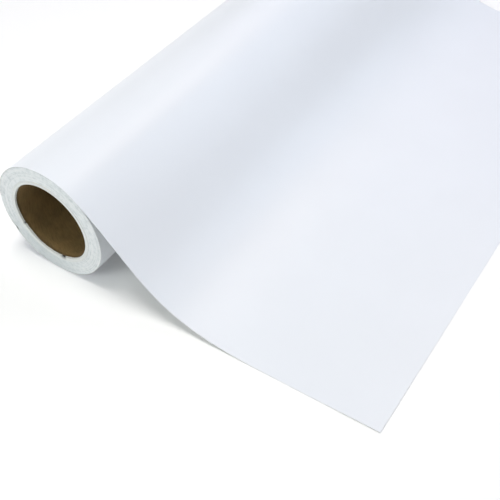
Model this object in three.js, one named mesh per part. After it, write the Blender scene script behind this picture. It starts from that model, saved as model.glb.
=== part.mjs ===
import * as THREE from 'three';

// A roll of self-adhesive sign vinyl that lies on a flat surface, with its free end drawn off over
// the top of the roll and laid flat.
// Millimetres. +X is the way the sheet is drawn off, +Y runs along the roll and +Z is up.
// The origin is under the middle of the whole object, on the surface that it lies on.

// The core, from its bore outwards: a three-inch paper tube.
const boreRadius = 38.1;
const innerPlyThickness = 0.4;
const boardThickness = 3.1;
const outerPlyThickness = 0.4;

// The strip of tape that starts the first turn, as an arc of the core.
const tapeThickness = 0.1;
const tapeFacets = 7;
const tapeFirstFacet = 20;

// The web: a face film, its adhesive and the release liner under it.
const sheetWidth = 610;
const filmThickness = 0.08;
const adhesiveThickness = 0.03;
const linerThickness = 0.14;
const webThickness = linerThickness + adhesiveThickness + filmThickness;

// The wound turns under the outermost one, and the clearance they turn with inside it.
const woundTurns = 53;
const turningClearance = 0.15;

// The free run leaves the roll at this angle above the horizontal, falls along one smooth curve and
// touches down flat. The pulls are the lengths of the curve's handles at its two ends.
const leavingAngle = THREE.MathUtils.degToRad(48.75);
const leavingPull = 81;
const touchdownPull = 111.5;
const runSteps = 32;

// Places along the flat sheet, measured from the roll's axis.
const touchdown = 211;
const feedStart = 215;
const leaderStart = 255;
const crease = 266;
const leadingEdge = 316;

// The facets of a full turn, and how many of them the outermost turn stops short of itself.
const facets = 96;
const facetAngle = (2 * Math.PI) / facets;
const tailGapFacets = 2;

// What follows from those.
const boardInnerRadius = boreRadius + innerPlyThickness;
const boardOuterRadius = boardInnerRadius + boardThickness;
const coreRadius = boardOuterRadius + outerPlyThickness;
const woundInnerRadius = coreRadius + tapeThickness;
const woundOuterRadius = woundInnerRadius + woundTurns * webThickness;
const outerTurnRadius = woundOuterRadius + turningClearance;
const rollRadius = outerTurnRadius + webThickness;
const axisX = (rollRadius - leadingEdge) / 2;
const axisZ = rollRadius;

// Each layer's lower and upper face, measured up from the underside of the web.
const layers = {
  liner: [0, linerThickness],
  adhesive: [linerThickness, linerThickness + adhesiveThickness],
  film: [linerThickness + adhesiveThickness, webThickness],
};

const finishes = {
  film: { color: 0xe8ecf3, roughness: 0.28, metalness: 0 },
  adhesive: { color: 0xc9ced0, roughness: 0.55, metalness: 0 },
  liner: { color: 0xdfe2dc, roughness: 0.45, metalness: 0 },
  wound: { color: 0xd1d8d8, roughness: 0.6, metalness: 0 },
  kraft: { color: 0x6b5638, roughness: 0.85, metalness: 0 },
  board: { color: 0xb9b8ae, roughness: 0.9, metalness: 0 },
  outerPly: { color: 0xd5d2c6, roughness: 0.8, metalness: 0 },
  tape: { color: 0xe0dcc8, roughness: 0.5, metalness: 0 },
};

const roll = new THREE.Group();

function addPiece(name, geometry, finish) {
  const mesh = new THREE.Mesh(geometry, new THREE.MeshStandardMaterial(finishes[finish]));
  mesh.name = name;
  roll.add(mesh);
}

// A full tube round the roll's axis, between two radii.
function tube(innerRadius, outerRadius) {
  const halfWidth = sheetWidth / 2;
  const section = [
    new THREE.Vector2(innerRadius, -halfWidth),
    new THREE.Vector2(outerRadius, -halfWidth),
    new THREE.Vector2(outerRadius, halfWidth),
    new THREE.Vector2(innerRadius, halfWidth),
    new THREE.Vector2(innerRadius, -halfWidth),
  ];
  return new THREE.LatheGeometry(section, facets).translate(axisX, 0, axisZ);
}

// A band across the whole width, between two side-view lines that run the same way.
function band(innerLine, outerLine) {
  const outline = new THREE.Shape([...innerLine, ...outerLine.toReversed()]);
  const geometry = new THREE.ExtrudeGeometry(outline, { depth: sheetWidth, bevelEnabled: false });
  return geometry.rotateX(Math.PI / 2).translate(axisX, sheetWidth / 2, axisZ);
}

// Side-view points on a circle about the axis, anticlockwise from an angle.
function arcLine(radius, fromAngle, facetCount) {
  return Array.from({ length: facetCount + 1 }, (_, i) => {
    const angle = fromAngle + i * facetAngle;
    return new THREE.Vector2(radius * Math.cos(angle), radius * Math.sin(angle));
  });
}

// Side-view points of a flat stretch of web, at a height above its underside.
function flatLine(fromX, toX, height) {
  const z = height - axisZ;
  return [new THREE.Vector2(fromX, z), new THREE.Vector2(toX, z)];
}

// The free run's underside: a cubic curve that leaves the roll along its tangent and lands level.
const leavingPoint = new THREE.Vector2(Math.cos(leavingAngle), Math.sin(leavingAngle))
  .multiplyScalar(outerTurnRadius);
const leavingDirection = new THREE.Vector2(Math.sin(leavingAngle), -Math.cos(leavingAngle));
const landingPoint = new THREE.Vector2(touchdown, -axisZ);
const leavingHandle = leavingPoint.clone().addScaledVector(leavingDirection, leavingPull);
const landingHandle = new THREE.Vector2(touchdown - touchdownPull, -axisZ);

// The direction of the cubic curve at a share of its way, from its three spans.
function runDirection(share) {
  const rest = 1 - share;
  return leavingHandle.clone().sub(leavingPoint).multiplyScalar(rest * rest)
    .addScaledVector(landingHandle.clone().sub(leavingHandle), 2 * rest * share)
    .addScaledVector(landingPoint.clone().sub(landingHandle), share * share)
    .normalize();
}

// Side-view points of the free run, lifted off its underside by a height square to the web.
function runLine(height) {
  const curve = new THREE.CubicBezierCurve(leavingPoint, leavingHandle, landingHandle, landingPoint);
  const falling = Array.from({ length: runSteps + 1 }, (_, i) => {
    const share = i / runSteps;
    const direction = runDirection(share);
    return curve.getPoint(share).addScaledVector(new THREE.Vector2(-direction.y, direction.x), height);
  });
  return [...falling, new THREE.Vector2(feedStart, height - axisZ)];
}

// The core's three parts. They are glued into one tube.
function addCore() {
  addPiece('core_inner_ply', tube(boreRadius, boardInnerRadius), 'kraft');
  addPiece('core_board', tube(boardInnerRadius, boardOuterRadius), 'board');
  addPiece('core_outer_ply', tube(boardOuterRadius, coreRadius), 'outerPly');
}

// The tape lies on whole facets of the core, right across it.
function addStartTape() {
  const from = tapeFirstFacet * facetAngle;
  const inner = arcLine(coreRadius, from, tapeFacets);
  const outer = arcLine(woundInnerRadius, from, tapeFacets);
  addPiece('start_tape', band(inner, outer), 'tape');
}

// All the turns under the outermost one, as one tight tube.
function addWoundTurns() {
  addPiece('wound_turns', tube(woundInnerRadius, woundOuterRadius), 'wound');
}

// The outermost turn, layer by layer, from where the free run leaves it back round almost to there.
function addOuterTurn(layer, [low, high]) {
  const count = facets - tailGapFacets;
  const inner = arcLine(outerTurnRadius + low, leavingAngle, count);
  const outer = arcLine(outerTurnRadius + high, leavingAngle, count);
  addPiece(`outer_turn_${layer}`, band(inner, outer), layer);
}

// The free run, layer by layer, down to the first flat millimetres.
function addFreeRun(layer, [low, high]) {
  addPiece(`free_run_${layer}`, band(runLine(low), runLine(high)), layer);
}

// A flat stretch of one layer.
function addFlat(name, layer, fromX, toX) {
  const [low, high] = layers[layer];
  addPiece(name, band(flatLine(fromX, toX, low), flatLine(fromX, toX, high)), layer);
}

// The flat stretch that grows as the sheet is fed, and the leader that travels.
function addFlatSheet(layer) {
  addFlat(`feed_${layer}`, layer, feedStart, leaderStart);
  addFlat(`leader_${layer}`, layer, leaderStart, layer === 'liner' ? leadingEdge : crease);
}

// The end strip of film with its adhesive, which peels up from the liner at the crease.
function addPeelStrip(layer) {
  addFlat(`peel_${layer}`, layer, crease, leadingEdge);
}

addCore();
addStartTape();
addWoundTurns();
for (const [layer, heights] of Object.entries(layers)) {
  addOuterTurn(layer, heights);
  addFreeRun(layer, heights);
  addFlatSheet(layer);
}
addPeelStrip('film');
addPeelStrip('adhesive');

export default roll;
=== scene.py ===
import math

import bpy
import numpy as np
from mathutils import Matrix, Vector


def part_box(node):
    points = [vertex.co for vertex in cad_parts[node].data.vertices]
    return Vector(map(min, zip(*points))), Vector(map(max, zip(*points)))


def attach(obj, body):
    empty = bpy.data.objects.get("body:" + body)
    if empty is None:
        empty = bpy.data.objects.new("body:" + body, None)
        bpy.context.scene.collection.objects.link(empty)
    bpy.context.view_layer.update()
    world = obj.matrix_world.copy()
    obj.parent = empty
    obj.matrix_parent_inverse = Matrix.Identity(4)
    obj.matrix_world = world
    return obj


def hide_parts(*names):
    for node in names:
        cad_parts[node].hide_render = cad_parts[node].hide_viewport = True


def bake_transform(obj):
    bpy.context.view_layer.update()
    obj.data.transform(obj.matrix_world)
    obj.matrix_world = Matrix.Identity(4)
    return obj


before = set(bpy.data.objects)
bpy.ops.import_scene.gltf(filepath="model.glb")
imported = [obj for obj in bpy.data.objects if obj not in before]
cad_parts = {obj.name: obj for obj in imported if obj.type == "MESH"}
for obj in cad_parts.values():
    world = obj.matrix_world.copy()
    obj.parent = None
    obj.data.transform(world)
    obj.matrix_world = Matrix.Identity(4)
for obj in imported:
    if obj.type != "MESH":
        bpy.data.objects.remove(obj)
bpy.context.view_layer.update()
print("frame loaded")

# Places taken from the frame, in metres.
outerLow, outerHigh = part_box("outer_turn_film")
rollRadius = (outerHigh.z - outerLow.z) / 2
axisX = (outerLow.x + outerHigh.x) / 2
axisZ = (outerLow.z + outerHigh.z) / 2
nearEnd, farEnd = outerLow.y, outerHigh.y
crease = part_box("peel_film")[0].x - axisX
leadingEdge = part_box("peel_film")[1].x - axisX
layerHeights = {
    layer: (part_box(f"leader_{layer}")[0].z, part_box(f"leader_{layer}")[1].z)
    for layer in ("liner", "adhesive", "film")
}
webThickness = layerHeights["film"][1]


# Half a round node's width.
def outsideRadius(node):
    low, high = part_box(node)
    return (high.x - low.x) / 2


camera = dict(
    place=(0.3016, -0.6392, 0.5461),
    yaw=34.315,  # degrees to the left of +Y
    pitch=45.561,  # degrees below the horizon
    roll=1.574,  # degrees
    lens=61.035,  # mm
    sensor=36,  # mm
)


# Forward is +Y turned by the yaw and tipped down by the pitch. The roll then turns right and up about it.
def makeCamera():
    yaw, pitch, roll = (math.radians(camera[key]) for key in ("yaw", "pitch", "roll"))
    level = math.cos(pitch)
    forward = Vector((-math.sin(yaw) * level, math.cos(yaw) * level, -math.sin(pitch)))
    right = Vector((math.cos(yaw), math.sin(yaw), 0))
    up = right.cross(forward)
    turned = right * math.cos(roll) - up * math.sin(roll)
    upright = right * math.sin(roll) + up * math.cos(roll)
    data = bpy.data.cameras.new("camera")
    data.lens = camera["lens"]
    data.sensor_width = camera["sensor"]
    holder = bpy.data.objects.new("camera", data)
    bpy.context.scene.collection.objects.link(holder)
    axes = Matrix((turned, upright, -forward)).transposed()
    holder.matrix_world = Matrix.Translation(camera["place"]) @ axes.to_4x4()
    bpy.context.scene.camera = holder


makeCamera()
print("camera made")


# A mesh of four-sided faces from arrays of points and of corners.
def quadMesh(name, points, quads, sharpAngle=35):
    mesh = bpy.data.meshes.new(name)
    mesh.vertices.add(len(points))
    mesh.vertices.foreach_set("co", points.astype(np.float32).ravel())
    mesh.loops.add(quads.size)
    mesh.loops.foreach_set("vertex_index", quads.astype(np.int32).ravel())
    mesh.polygons.add(len(quads))
    mesh.polygons.foreach_set("loop_start", np.arange(0, quads.size, 4, dtype=np.int32))
    mesh.update(calc_edges=True)
    mesh.validate()
    mesh.shade_smooth()
    mesh.set_sharp_from_angle(angle=math.radians(sharpAngle))
    piece = bpy.data.objects.new(name, mesh)
    bpy.context.scene.collection.objects.link(piece)
    return piece


# The corners of the faces between neighbouring rows and columns of a grid of point numbers.
def gridQuads(numbers):
    corners = (numbers[:-1, :-1], numbers[1:, :-1], numbers[1:, 1:], numbers[:-1, 1:])
    return np.stack(corners, -1).reshape(-1, 4)


# A closed slab: a grid of points for its upper face, one for its lower face, and a rim round both.
def slabMesh(name, upper, lower):
    rows, columns = upper.shape[:2]
    top = np.arange(rows * columns).reshape(rows, columns)
    bottom = top + rows * columns
    rimTop = np.concatenate((top[0, :-1], top[:-1, -1], top[-1, :0:-1], top[::-1, 0]))
    rimBottom = rimTop + rows * columns
    rim = np.stack((rimTop[:-1], rimTop[1:], rimBottom[1:], rimBottom[:-1]), -1)
    points = np.concatenate((upper.reshape(-1, 3), lower.reshape(-1, 3)))
    quads = np.concatenate((gridQuads(top), gridQuads(bottom)[:, ::-1], rim))
    return quadMesh(name, points, quads)


# A closed ring: a closed outline carried round the roll's axis, points[turn, place on the outline].
def ringMesh(name, points, sharpAngle=35):
    rows, columns = points.shape[:2]
    numbers = np.arange(rows * columns).reshape(rows, columns)
    wrapped = np.pad(numbers, ((0, 1), (0, 1)), mode="wrap")
    return quadMesh(name, points.reshape(-1, 3), gridQuads(wrapped), sharpAngle)


# Gives a mesh a value for every point, for its material to read.
def givePoints(piece, name, values):
    made = piece.data.attributes.new(name, "FLOAT", "POINT")
    made.data.foreach_set("value", values.astype(np.float32).ravel())


# Radius, angle from straight up towards +X, and place along the roll, as points.
def rollPoints(radius, angle, along):
    radius, angle, along = np.broadcast_arrays(radius, angle, along)
    return np.stack((axisX + radius * np.sin(angle), along, axisZ + radius * np.cos(angle)), -1)


# 0 before the start and 1 past the end. In between, the share s is eased as 3 s squared less 2 s cubed.
def smooth(values, start, end):
    share = np.clip((values - start) / (end - start), 0, 1)
    return share * share * (3 - 2 * share)


# A material's node tree, with short ways to add a node and join it.
class Look:
    def __init__(self, name):
        self.material = bpy.data.materials.new(name)
        self.material.use_nodes = True
        self.tree = self.material.node_tree
        self.shader = self.tree.nodes["Principled BSDF"]

    def node(self, kind, **inputs):
        made = self.tree.nodes.new(kind)
        for key, value in inputs.items():
            self.feed(made, key, value)
        return made

    def feed(self, node, key, value):
        name = int(key[1:]) if key[0] == "i" and key[1:].isdigit() else key.replace("_", " ")
        if isinstance(value, bpy.types.NodeSocket):
            self.tree.links.new(value, node.inputs[name])
        else:
            node.inputs[name].default_value = value

    def maths(self, operation, *values):
        made = self.tree.nodes.new("ShaderNodeMath")
        made.operation = operation
        for place, value in enumerate(values):
            self.feed(made, f"i{place}", value)
        return made.outputs[0]

    def noise(self, vector, scale, detail=3.0, roughness=0.5):
        return self.node(
            "ShaderNodeTexNoise", Vector=vector, Scale=scale, Detail=detail, Roughness=roughness
        ).outputs["Fac"]

    def mix(self, share, first, second):
        made = self.tree.nodes.new("ShaderNodeMix")
        made.data_type = "RGBA"
        self.feed(made, "i0", share)
        self.feed(made, "i6", first)
        self.feed(made, "i7", second)
        return made.outputs[2]

    # The values, each times its share, added up.
    def weighted(self, *parts):
        total = 0
        for share, value in parts:
            total = self.maths("MULTIPLY_ADD", value, share, total)
        return total

    def ramp(self, value, *stops):
        made = self.tree.nodes.new("ShaderNodeValToRGB")
        self.feed(made, "i0", value)
        while len(made.color_ramp.elements) < len(stops):
            made.color_ramp.elements.new(0.5)
        for element, (place, colour) in zip(made.color_ramp.elements, stops):
            element.position = place
            element.color = (*colour, 1)
        return made.outputs[0]

    def bump(self, height, distance):
        return self.node("ShaderNodeBump", Height=height, Distance=distance, Strength=1).outputs[0]

    def measure(self, vector):
        made = self.tree.nodes.new("ShaderNodeVectorMath")
        made.operation = "LENGTH"
        self.feed(made, "i0", vector)
        return made.outputs["Value"]

    def place(self):
        return self.tree.nodes.new("ShaderNodeTexCoord").outputs["Object"]

    # The colour, but the shadow colour painted into pits, as far as the mesh's own pit depth says.
    def pitShadowed(self, colour, pitShadowed):
        made = self.tree.nodes.new("ShaderNodeAttribute")
        made.attribute_name = "pitShadowMask"
        return self.mix(made.outputs["Fac"], colour, (*pitShadowed, 1))

    # The colour, but the cut colour on faces that look along the roll, within 45 degrees of it.
    def cutEdge(self, colour, cut):
        normal = self.tree.nodes.new("ShaderNodeTexCoord").outputs["Normal"]
        along = self.node("ShaderNodeSeparateXYZ", Vector=normal).outputs[1]
        faces = self.maths("GREATER_THAN", self.maths("ABSOLUTE", along), 0.7)
        return self.mix(faces, colour, (*cut, 1))

    def set(self, **inputs):
        for key, value in inputs.items():
            self.feed(self.shader, key, value)


# Object coordinates rolled out round the axis: (turn about the axis, place along it, radius).
def rolledPlace(look):
    split = look.node("ShaderNodeSeparateXYZ", Vector=look.place()).outputs
    across = look.maths("SUBTRACT", split[0], axisX)
    height = look.maths("SUBTRACT", split[2], axisZ)
    flat = look.node("ShaderNodeCombineXYZ", X=across, Y=height).outputs[0]
    radius = look.measure(flat)
    turn = look.maths("ARCTAN2", across, height)
    return turn, split[1], radius


# Three values as one place for a pattern to be read at.
def joined(look, x, y, z):
    return look.node("ShaderNodeCombineXYZ", X=x, Y=y, Z=z).outputs[0]


vinyl = dict(
    colour=(0.80, 0.83, 0.875),
    shade=0.988,  # what is left of the colour in the darker patches
    patches=14,
    patchStops=(0.35, 0.65),
    cut=(0.52, 0.54, 0.55),
    leastRoughness=0.26,
    roughnessSpread=0.08,
    roughnessPatches=60,
    orangePeel=420,
    orangePeelDepth=0.000012,
    bending=1.48,  # index of refraction
)


# Faint darker patches, uneven gloss and a fine orange-peel relief.
def vinylLook():
    look = Look("white gloss vinyl")
    place = look.place()
    shaded = tuple(channel * vinyl["shade"] for channel in vinyl["colour"])
    stops = zip(vinyl["patchStops"], (shaded, vinyl["colour"]))
    face = look.ramp(look.noise(place, vinyl["patches"], 2), *stops)
    wipes = look.noise(place, vinyl["roughnessPatches"], 2)
    look.set(
        Base_Color=look.cutEdge(face, vinyl["cut"]),
        Roughness=look.maths("MULTIPLY_ADD", wipes, vinyl["roughnessSpread"], vinyl["leastRoughness"]),
        Normal=look.bump(look.noise(place, vinyl["orangePeel"], 2), vinyl["orangePeelDepth"]),
        IOR=vinyl["bending"],
    )
    return look.material


adhesive = dict(
    colour=(0.66, 0.685, 0.70),
    thin=(0.63, 0.655, 0.67),
    coatPatches=30,
    coatStops=(0.3, 0.7),
    cut=(0.30, 0.30, 0.29),
    leastRoughness=0.28,
    roughnessSpread=0.2,
    roughnessPatches=250,
    grain=900,
    grainDepth=0.00002,
)


# A coat of uneven thickness and gloss, with a fine grain.
def adhesiveLook():
    look = Look("clear adhesive on white film")
    place = look.place()
    stops = zip(adhesive["coatStops"], (adhesive["thin"], adhesive["colour"]))
    coat = look.ramp(look.noise(place, adhesive["coatPatches"]), *stops)
    dull = look.noise(place, adhesive["roughnessPatches"])
    look.set(
        Base_Color=look.cutEdge(coat, adhesive["cut"]),
        Roughness=look.maths("MULTIPLY_ADD", dull, adhesive["roughnessSpread"], adhesive["leastRoughness"]),
        Normal=look.bump(look.noise(place, adhesive["grain"]), adhesive["grainDepth"]),
    )
    return look.material


liner = dict(
    colour=(0.74, 0.75, 0.715),
    dark=(0.70, 0.708, 0.672),
    cut=(0.58, 0.58, 0.55),
    fibres=480,
    fibreStretch=(1, 3.2, 1),
    fibreStops=(0.3, 0.7),
    fibreDepth=0.00001,
    leastRoughness=0.36,
    roughnessSpread=0.12,
)


# Paper fibres, drawn out along the sheet, show faintly through the silicone.
def linerLook():
    look = Look("silicone-coated liner paper")
    place = look.place()
    drawn = look.node("ShaderNodeMapping", Vector=place, Scale=liner["fibreStretch"]).outputs[0]
    fibres = look.noise(drawn, liner["fibres"], 5, 0.65)
    sheet = look.ramp(fibres, *zip(liner["fibreStops"], (liner["dark"], liner["colour"])))
    look.set(
        Base_Color=look.cutEdge(sheet, liner["cut"]),
        Roughness=look.maths("MULTIPLY_ADD", fibres, liner["roughnessSpread"], liner["leastRoughness"]),
        Normal=look.bump(fibres, liner["fibreDepth"]),
    )
    return look.material


edges = dict(
    dark=(0.61, 0.65, 0.655),
    colour=(0.765, 0.795, 0.80),
    light=(0.82, 0.835, 0.835),
    sideShade=(0.45, 0.50, 0.51),  # painted shade: one side of the ends coloured darker, as if less light fell there
    sideShadeTurn=math.radians(-157),
    sideShadeReach=0.5,  # the cosine of how far round the ends the painted shade fades out
    sideShadeShare=0.44,
    # the shadow colour painted into the dent's pit
    pitShadow=(0.03, 0.03, 0.035),
    toneStops=(0.4, 0.5, 0.6),
    ringShare=0.36,
    ringGrain=0.9,
    ringSmear=0.5,  # how fast the rings change round the roll
    streakShare=0.26,
    streakGrain=1.4,
    streakAcross=0.16,  # how fast the streaks change from turn to turn
    streakRound=0.9,
    speckleShare=0.38,
    speckle=230,
    relief=0.00006,
    roughness=0.62,
)


# The cut edges of the turns: rings of film and liner, smeared round a little by the slitting knife.
# One side of the ends is painted darker as shade.
def woundLook():
    look = Look("cut edges of wound web")
    turn, along, radius = rolledPlace(look)
    ring = look.maths("DIVIDE", radius, webThickness)
    smeared = joined(look, ring, look.maths("MULTIPLY", turn, edges["ringSmear"]), along)
    rings = look.noise(smeared, edges["ringGrain"], 2, 0.6)
    across = look.maths("MULTIPLY", ring, edges["streakAcross"])
    drawn = joined(look, across, look.maths("MULTIPLY", turn, edges["streakRound"]), along)
    streaks = look.noise(drawn, edges["streakGrain"], 4, 0.6)
    speckle = look.noise(look.place(), edges["speckle"], 3, 0.6)
    tone = look.weighted(
        (edges["streakShare"], streaks), (edges["ringShare"], rings), (edges["speckleShare"], speckle)
    )
    cut = look.ramp(tone, *zip(edges["toneStops"], (edges["dark"], edges["colour"], edges["light"])))
    # Painted shade: the ends are coloured darker towards one side, as if less light fell there.
    facing = look.maths("COSINE", look.maths("SUBTRACT", turn, edges["sideShadeTurn"]))
    sideShaded = look.ramp(facing, (edges["sideShadeReach"], (0, 0, 0)), (1, (1, 1, 1)))
    sideShaded = look.mix(look.maths("MULTIPLY", sideShaded, edges["sideShadeShare"]), cut, (*edges["sideShade"], 1))
    # The dent's pit is painted near-black as shadow.
    look.set(
        Base_Color=look.pitShadowed(sideShaded, edges["pitShadow"]),
        Roughness=edges["roughness"],
        Normal=look.bump(tone, edges["relief"]),
    )
    return look.material


core = dict(
    innerPlyThickness=0.0004,
    slope=0.42,  # how far along the kraft ply winds for each length round
    seamWidth=0.0007,
    seamDepth=0.00022,
    seamGrid=(2.0, 1.4, 1.0, 0.4),  # where the grid lines run in the seam, in seam widths
    seamMiddle=1.2,  # and where its groove is deepest
    seamSpread=0.55,
    plySteps=200,
    alongSteps=240,
    tornBack=0.0019,  # how far the kraft ply ends inside the mouth
    raggedness=0.00022,
    tears=((5, 0, 1), (11, 2, 0.5), (31, 4, 0.25)),  # waves round the torn end, their phase and share
    glueLine=0.00004,
    flare=0.0004,  # how far the mouth's edge is worn open
    mouth=((1, 0), (1 / 3, 0.5), (0, 2)),  # its profile: outwards and inwards, in flares
    angleSteps=720,
    endRings=6,
    endRoughness=0.00003,
    sharpAngle=30,
    plySharpAngle=40,
    markReach=0.003,  # how far inside the mouth a nick fades out
    nickDepth=0.0018,  # a nick this deep is painted fully in the shadow colour
    nicks=(
        dict(turn=171, width=3.4, radius=0.0386, height=0.0018, depth=0.0026),
        dict(turn=242, width=1.7, radius=0.0385, height=0.0012, depth=0.0019),
    ),
)
boreRadius = outsideRadius("core_inner_ply") - core["innerPlyThickness"]
outerPly = dict(light=(0.79, 0.81, 0.80), dark=(0.68, 0.70, 0.69))
startTape = dict(light=(0.78, 0.74, 0.6), dark=(0.7, 0.66, 0.52))
kraft = dict(
    light=(0.30, 0.188, 0.070),
    dark=(0.155, 0.094, 0.034),
    olive=(0.155, 0.135, 0.045),
    oliveShare=0.35,
    rimShadeReach=0.0045,  # how far from the mouth the ply is painted dark as shade
    rimShadeStops=(0.35, 1),
    rimShade=0.6,
    fibres=700,
    fibreStretch=0.25,
    fibreShare=0.55,
    fibreDepth=0.00005,
    clouds=60,
    cloudShare=0.45,
    blotches=130,
    toneStops=(0.36, 0.64),
    roughness=0.8,
)


# Fibres run along the ply's winding, over clouds and olive blotches. The rim by the mouths is painted
# darker as shade.
def kraftLook():
    look = Look("brown kraft ply")
    turn, along, radius = rolledPlace(look)
    lengthways = look.maths("MULTIPLY_ADD", turn, boreRadius, look.maths("MULTIPLY", along, core["slope"]))
    across = look.maths("MULTIPLY_ADD", turn, -boreRadius * core["slope"], along)
    drawn = joined(look, look.maths("MULTIPLY", lengthways, kraft["fibreStretch"]), across, radius)
    fibres = look.noise(drawn, kraft["fibres"], 5, 0.7)
    clouds = look.noise(look.place(), kraft["clouds"], 4, 0.6)
    tone = look.weighted((kraft["cloudShare"], clouds), (kraft["fibreShare"], fibres))
    blotches = look.maths("MULTIPLY", look.noise(look.place(), kraft["blotches"], 2), kraft["oliveShare"])
    ply = look.ramp(tone, *zip(kraft["toneStops"], (kraft["dark"], kraft["light"])))
    ply = look.mix(blotches, ply, (*kraft["olive"], 1))
    # Painted shade: the ply is coloured darker just inside the mouths.
    fromMiddle = look.maths("ABSOLUTE", along)
    inside = look.maths("DIVIDE", look.maths("SUBTRACT", farEnd, fromMiddle), kraft["rimShadeReach"])
    rim = look.ramp(inside, *zip(kraft["rimShadeStops"], ((1, 1, 1), (0, 0, 0))))
    look.set(
        Base_Color=look.mix(look.maths("MULTIPLY", rim, kraft["rimShade"]), ply, (0, 0, 0, 1)),
        Roughness=kraft["roughness"],
        Normal=look.bump(fibres, kraft["fibreDepth"]),
    )
    return look.material


board = dict(
    light=(0.78, 0.80, 0.785),
    dark=(0.65, 0.675, 0.66),
    # the shadow colour painted into the nicks
    pitShadow=(0.015, 0.012, 0.014),
    toneStops=(0.35, 0.65),
    plyThickness=0.0005,
    plyShare=0.5,
    fibres=900,
    fibreShare=0.5,
    relief=0.00012,
    roughness=0.85,
)


# The cut end of the board: rings of paper plies, with fibres torn up by the cut, and shadow painted into
# its nicks.
def boardLook(name="grey-white core board", light=board["light"], dark=board["dark"]):
    look = Look(name)
    turn, along, radius = rolledPlace(look)
    ply = look.maths("DIVIDE", radius, board["plyThickness"])
    plies = look.noise(joined(look, ply, turn, along), 1, 2)
    fibres = look.noise(look.place(), board["fibres"], 5, 0.7)
    tone = look.weighted((board["fibreShare"], fibres), (board["plyShare"], plies))
    look.set(
        Base_Color=look.pitShadowed(look.ramp(tone, *zip(board["toneStops"], (dark, light))), board["pitShadow"]),
        Roughness=board["roughness"],
        Normal=look.bump(tone, board["relief"]),
    )
    return look.material


web = dict(
    leavingAngle=math.radians(48.75),  # above the horizontal
    leavingPull=0.081,
    touchdown=0.211,
    touchdownPull=0.1115,
    tailGap=math.radians(4.2),  # the outermost turn stops this far under the free run
    tailDive=0.00013,  # and sinks by this much on its last stretch
    tailDiveFrom=math.radians(290),
    arcSteps=236,
    runSteps=130,
    flatStep=0.0022,
    acrossSteps=60,
    wave=0.00022,  # how far the laid sheet's slow waves lift it
    waveBase=1.2,
    waves=((31, -9, 0.6, 0.5), (17, 23, 2.1, 0.35), (47, 41, 4.0, 0.2)),  # along x and y, phase, share
    waveStart=(0.07, 0.16),  # where along the sheet they set in
    edgeLift=0.0006,  # and how far its near edge lifts off the table at one place
    edgeLiftAt=0.296,
    edgeLiftSize=(0.022, 0.011),  # along the edge and in from it
    inset=0.00008,  # how far the outermost turn's edges wander in from the ends
    insetFade=0.02,
    insets=((211, 1.6, 0.0006), (-42, 14, 0.0003), (182, 12, 0.0003)),  # degrees, width and depth
)


# The web's underside in side view: round the roll clockwise from its tail, then a cubic curve that
# leaves along the tangent and lands level, then flat. Gives points and the directions square to it.
def webLine(end):
    underside = rollRadius - webThickness
    sweep = np.linspace(2 * math.pi - web["tailGap"], 0, web["arcSteps"])
    angle = web["leavingAngle"] + sweep
    dive = web["tailDive"] * smooth(sweep, web["tailDiveFrom"], 2 * math.pi - web["tailGap"])
    radius = underside - dive
    radial = np.stack((np.cos(angle), np.sin(angle)), -1)
    leaving = np.array((math.cos(web["leavingAngle"]), math.sin(web["leavingAngle"])))
    direction = np.array((leaving[1], -leaving[0]))
    floor = -rollRadius
    corners = np.array((
        leaving * underside,
        leaving * underside + direction * web["leavingPull"],
        (web["touchdown"] - web["touchdownPull"], floor),
        (web["touchdown"], floor),
    ))
    share = np.linspace(0, 1, web["runSteps"] + 1)[1:, None]
    rest = 1 - share
    run = (corners[0] * rest**3 + 3 * corners[1] * rest**2 * share
           + 3 * corners[2] * rest * share**2 + corners[3] * share**3)
    spans = np.diff(corners, axis=0)
    heading = spans[0] * rest**2 + 2 * spans[1] * rest * share + spans[2] * share**2
    heading /= np.linalg.norm(heading, axis=1, keepdims=True)
    count = max(2, round((end - web["touchdown"]) / web["flatStep"]))
    flat = np.stack((np.linspace(web["touchdown"], end, count + 1)[1:], np.full(count, floor)), -1)
    points = np.concatenate((radial * radius[:, None], run, flat))
    runSquares = np.stack((-heading[:, 1], heading[:, 0]), -1)
    squares = np.concatenate((radial, runSquares, np.tile((0.0, 1.0), (count, 1))))
    return points, squares


# How far the laid sheet stands off its line: a sum of sine waves over the sheet, which set in where it
# leaves the roll and never go below the table, and one low round hump at the near edge.
def sheetLift(x, y):
    waves = web["waveBase"] + sum(
        share * np.sin(alongX * x + alongY * y + phase) for alongX, alongY, phase, share in web["waves"]
    )
    lift = web["wave"] * waves * smooth(x, *web["waveStart"])
    length, width = web["edgeLiftSize"]
    hump = np.exp(-((y - nearEnd) / width) ** 2 - ((x - web["edgeLiftAt"]) / length) ** 2)
    return lift + web["edgeLift"] * hump


# How far the web's edges stand in from the ends of the roll, by side-view place: a slow wander and a
# few wider steps round the outermost turn, which fade out along the free run.
def edgeInset(line):
    turn = np.degrees(np.arctan2(line[:, 1], line[:, 0]))
    wander = web["inset"] * (1 + np.sin(np.radians(3 * turn)) / 2 + np.sin(np.radians(7 * turn)) / 3)
    for middle, width, depth in web["insets"]:
        away = (turn - middle + 180) % 360 - 180
        wander = wander + depth * np.exp(-((away / width) ** 2))
    return wander * (1 - smooth(np.linalg.norm(line, axis=1), rollRadius, rollRadius + web["insetFade"]))


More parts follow.
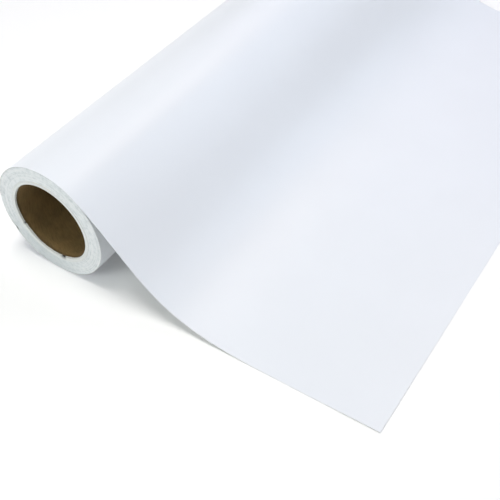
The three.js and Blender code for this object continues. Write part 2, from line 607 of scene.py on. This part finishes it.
# One layer of the web as a closed band, from a side-view line and the layer's height above it.
def layerBand(name, line, squares, layer):
    inset = edgeInset(line)[:, None]
    across = np.linspace(nearEnd + inset, farEnd - inset, web["acrossSteps"] + 1, axis=1)[..., 0]
    lift = sheetLift(line[:, :1], across)
    faces = []
    for height in layerHeights[layer]:
        side = line[:, None, :] + squares[:, None, :] * (height + lift)[..., None]
        x = axisX + side[..., 0]
        z = np.maximum(axisZ + side[..., 1], height)
        faces.append(np.stack((x, across, z), -1))
    return slabMesh(name, faces[1], faces[0])


layerMaterials = {"film": vinylLook(), "adhesive": adhesiveLook(), "liner": linerLook()}


# From the outermost turn to the leader.
def makeWebLayer(layer):
    end = leadingEdge if layer == "liner" else crease
    line, squares = webLine(end)
    piece = layerBand(f"{layer}Web", line, squares, layer)
    piece.data.materials.append(layerMaterials[layer])
    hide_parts(f"outer_turn_{layer}", f"free_run_{layer}", f"feed_{layer}", f"leader_{layer}")
    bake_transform(piece)


# The end strip of film and adhesive, laid flat on the liner past the crease.
peelStrip = dict(bend=0.014, step=0.001)


def makePeelLayer(layer):
    x = np.linspace(crease, leadingEdge, round((leadingEdge - crease) / peelStrip["step"]))
    line = np.stack((x, np.full_like(x, -rollRadius)), -1)
    squares = np.tile((0.0, 1.0), (len(x), 1))
    piece = layerBand(f"{layer}PeelStrip", line, squares, layer)
    piece.data.materials.append(layerMaterials[layer])
    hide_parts(f"peel_{layer}")
    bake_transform(piece)
    print(layer, "peel strip made")


wound = dict(
    turns=53,
    stepsPerTurn=3,
    angleSteps=240,
    groove=0.00005,  # how deep the gap between two turns is
    scatter=0.00006,  # how far single turns stand in at the ends
    drift=0.00018,  # how far whole bundles of turns do
    wobble=0.00002,
    least=0.00001,
    waves=4,
    tapeThickness=0.0001,
    sharpAngle=50,
    dent=dict(turn=238, width=2.4, radius=0.0547, height=0.0013, depth=0.0006),
    seed=4,
)


# How deep a mark is at points of an end face: a smooth pit round its turn and radius.
def markDepth(mark, radius, angle):
    away = (angle - math.radians(mark["turn"])) / math.radians(mark["width"])
    return mark["depth"] * np.exp(-(away**2) - ((radius - mark["radius"]) / mark["height"]) ** 2)


# One end of the wound turns: radii, turns, and how far inwards of the flat end each point lies. The
# depth is a groove between neighbouring turns, a scatter of single turns, a slow drift made of a few
# sine waves from core to rim, and a wobble round the roll with its own phase in every turn.
def woundEnd(random, inner, outer):
    count = wound["turns"] * wound["stepsPerTurn"]
    place = (np.arange(count) + 0.5) / wound["stepsPerTurn"]
    share = place / wound["turns"]
    single = place.astype(int)
    radius = inner + (outer - inner) * share
    angle = np.linspace(0, 2 * math.pi, wound["angleSteps"], endpoint=False)[:, None]
    waves = np.arange(1, wound["waves"] + 1)[:, None]
    drift = (np.sin(2 * math.pi * (waves * share + random.random(waves.shape))) / waves).sum(0)
    drift = (drift - drift.min()) / np.ptp(drift) * wound["drift"]
    scatter = random.random(wound["turns"])[single] * wound["scatter"]
    phase = 2 * math.pi * random.random(wound["turns"])[single]
    wobble = (1 + np.sin(angle + phase / 3) / 2 + np.sin(3 * angle + phase) / 3) * wound["wobble"]
    crown = np.arange(count) % wound["stepsPerTurn"] == 1
    groove = np.where(crown, 0, wound["groove"])
    return radius, angle, groove + scatter + drift + wobble + wound["least"]


# Both ends' rings of points, joined into one closed tube by the bore and the outside.
def makeWoundTurns():
    random = np.random.default_rng(wound["seed"])
    inner = outsideRadius("core_outer_ply") + wound["tapeThickness"]
    outer = outsideRadius("wound_turns")
    radius, angle, nearDepth = woundEnd(random, inner, outer)
    farDepth = woundEnd(random, inner, outer)[2]
    pressed = markDepth(wound["dent"], radius, angle)
    nearFace = rollPoints(radius, angle, nearEnd + nearDepth + pressed)
    farFace = rollPoints(radius, angle, farEnd - farDepth)
    piece = ringMesh("woundTurns", np.concatenate((nearFace, farFace[:, ::-1]), 1), wound["sharpAngle"])
    # The dent's depth says where shadow is painted into its pit.
    givePoints(piece, "pitShadowMask", np.concatenate((pressed, 0 * pressed), 1) / wound["dent"]["depth"])
    piece.data.materials.append(woundLook())
    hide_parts("wound_turns")
    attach(piece, "roll")
    print("wound turns made")


# A closed ring of one outline, given as rows of (radius, place along the roll). Marks are pressed into
# its near end, and fade out a little way inside.
def plainRing(name, outline, material, node, marks=()):
    angle = np.linspace(0, 2 * math.pi, core["angleSteps"], endpoint=False)[:, None]
    radius, along = np.array(outline).T
    pressed = np.zeros((len(angle), len(radius)))
    for mark in marks:
        pressed += markDepth(mark, radius, angle)
    pressed *= 1 - smooth(along, nearEnd, nearEnd + core["markReach"])
    piece = ringMesh(name, rollPoints(radius, angle, along + pressed), core["sharpAngle"])
    # The nicks' depth says where shadow is painted into them.
    givePoints(piece, "pitShadowMask", pressed / core["nickDepth"])
    piece.data.materials.append(material)
    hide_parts(node)
    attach(piece, "roll")


# The kraft ply lines the bore. Its grid is sheared round the axis, so that the seam where its edges
# meet is a groove that follows the grid all the way along. Its ends are torn back from the mouths.
def makeInnerPly():
    outer = outsideRadius("core_inner_ply")
    seam = core["seamWidth"] / boreRadius
    turn = np.concatenate((
        np.linspace(0, 2 * math.pi - 3 * seam, core["plySteps"]),
        2 * math.pi - seam * np.array(core["seamGrid"]),
    ))[:, None]
    ragged = core["raggedness"] * sum(
        portion * np.sin(count * turn + phase) for count, phase, portion in core["tears"]
    )
    share = np.linspace(0, 1, core["alongSteps"])
    start = nearEnd + core["tornBack"] + ragged
    along = start + (farEnd - core["tornBack"] - ragged - start) * share
    fromSeam = (turn - 2 * math.pi) / seam + core["seamMiddle"]
    groove = core["seamDepth"] * np.exp(-((fromSeam / core["seamSpread"]) ** 2))
    angle = turn + core["slope"] / boreRadius * (along - nearEnd)
    inner = rollPoints(boreRadius + groove, angle, along)
    back = rollPoints(outer - core["glueLine"], angle, along)[:, ::-1]
    points = np.concatenate((inner, back), 1)[::-1]
    piece = ringMesh("coreInnerPly", points, core["plySharpAngle"])
    piece.data.materials.append(kraftLook())
    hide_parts("core_inner_ply")
    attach(piece, "roll")


# The outlines of both ends, from the near end's, which the far one mirrors.
def bothEnds(near):
    return (near + [(radius, nearEnd + farEnd - along) for radius, along in near[::-1]])[::-1]


# The board's end is flat rings out to its edge, and its mouth is flared. The tape keeps its own mesh.
def makeCore():
    inner, outer = outsideRadius("core_inner_ply"), outsideRadius("core_board")
    cover = outsideRadius("core_outer_ply")
    step = (outer - inner) / core["endRings"]
    endPlace = nearEnd + core["endRoughness"]
    rings = [(outer - step * count, endPlace) for count in range(core["endRings"])]
    mouth = [
        (inner + core["flare"] * outwards, max(endPlace, nearEnd + core["flare"] * inwards))
        for outwards, inwards in core["mouth"]
    ]
    board = bothEnds(rings + mouth)
    plainRing("coreBoard", board, boardLook(), "core_board", core["nicks"])
    ply = bothEnds([(cover, endPlace), (outer, nearEnd)])
    plainRing("coreOuterPly", ply, boardLook("pale outer ply", **outerPly), "core_outer_ply")
    makeInnerPly()
    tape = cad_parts["start_tape"].data.materials
    tape.clear()
    tape.append(boardLook("paper tape", **startTape))
    print("core made")


makeWoundTurns()
makeCore()
for layer in ("film", "adhesive", "liner"):
    makeWebLayer(layer)
for layer in ("film", "adhesive"):
    makePeelLayer(layer)


studio = dict(
    floorSize=6,
    floorColour=(0.93, 0.935, 0.94),
    floorRoughness=0.9,
    floorGap=0.00005,  # how far the floor lies under the object
    floorGlow=(0.05, 0.05, 0.05),  # a lit panel under the floor softens the shadows
    sky=(0.047, 0.049, 0.053),
    horizon=(0.84, 0.86, 0.88),
    horizonBand=(0.1, 0.2),  # sines of the heights over which the horizon's glow fades into the sky
    sweepGlow=(0.62, 0.64, 0.66),  # the floor's own glow far out, which meets the horizon
    sweepReach=(0.8, 2.2),  # metres from the middle over which it sets in
    aim=(0, 0, 0.05),
    distance=2.2,
    size=0.9,
)
# Each softbox: its direction from +X towards +Y and its height above the horizon in degrees, its
# power in watts and its colour.
softboxes = dict(
    overheadSoftbox=(240, 80, 34.4, (1, 0.978, 0.951)),
    frontSoftbox=(257, 34, 15.0, (0.95, 1, 0.99)),
    rightBackSoftbox=(51, 34, 6.9, (0.667, 0.807, 1)),
    backSoftbox=(77, 34, 3.3, (0.667, 0.731, 1)),
    leftBackSoftbox=(103, 34, 3.0, (0.744, 0.706, 1)),
    highBackSoftbox=(80, 58, 4.9, (1, 0.864, 0.786)),
)


# A square floor, which glows more with the distance from its middle.
def makeFloor():
    half = studio["floorSize"] / 2
    corners = np.array(((-half, -half, 0), (half, -half, 0), (half, half, 0), (-half, half, 0)), float)
    floor = quadMesh("floor", corners - (0, 0, studio["floorGap"]), np.array(((0, 1, 2, 3),)))
    look = Look("pale floor")
    start, end = studio["sweepReach"]
    away = look.maths("DIVIDE", look.measure(look.place()), end)
    look.set(
        Base_Color=(*studio["floorColour"], 1),
        Roughness=studio["floorRoughness"],
        Emission_Color=look.ramp(away, (start / end, studio["floorGlow"]), (1, studio["sweepGlow"])),
        Emission_Strength=1,
    )
    floor.data.materials.append(look.material)


# A square panel at its direction and distance from the aim, turned to face it.
def makeSoftbox(name, bearing, height, power, colour):
    data = bpy.data.lights.new(name, "AREA")
    data.shape = "SQUARE"
    data.size = studio["size"]
    data.energy = power
    data.color = colour
    lamp = bpy.data.objects.new(name, data)
    bpy.context.scene.collection.objects.link(lamp)
    bearing, height = math.radians(bearing), math.radians(height)
    flat = math.cos(height)
    towards = Vector((flat * math.cos(bearing), flat * math.sin(bearing), math.sin(height)))
    lamp.location = Vector(studio["aim"]) + towards * studio["distance"]
    lamp.rotation_euler = towards.to_track_quat("Z", "Y").to_euler()


# The world is dark overhead, with a bright band round the horizon.
def makeLights():
    world = bpy.data.worlds.new("studio")
    world.use_nodes = True
    tree = world.node_tree
    height = tree.nodes.new("ShaderNodeSeparateXYZ")
    tree.links.new(tree.nodes.new("ShaderNodeTexCoord").outputs["Generated"], height.inputs[0])
    fade = tree.nodes.new("ShaderNodeValToRGB")
    tree.links.new(height.outputs[2], fade.inputs[0])
    for element, place, colour in zip(
        fade.color_ramp.elements, studio["horizonBand"], (studio["horizon"], studio["sky"])
    ):
        element.position = place
        element.color = (*colour, 1)
    tree.links.new(fade.outputs[0], tree.nodes["Background"].inputs["Color"])
    bpy.context.scene.world = world
    for name, (bearing, height, power, colour) in softboxes.items():
        makeSoftbox(name, bearing, height, power, colour)


makeFloor()
makeLights()
bpy.context.scene.view_settings.view_transform = "Standard"
print("floor and lights made")
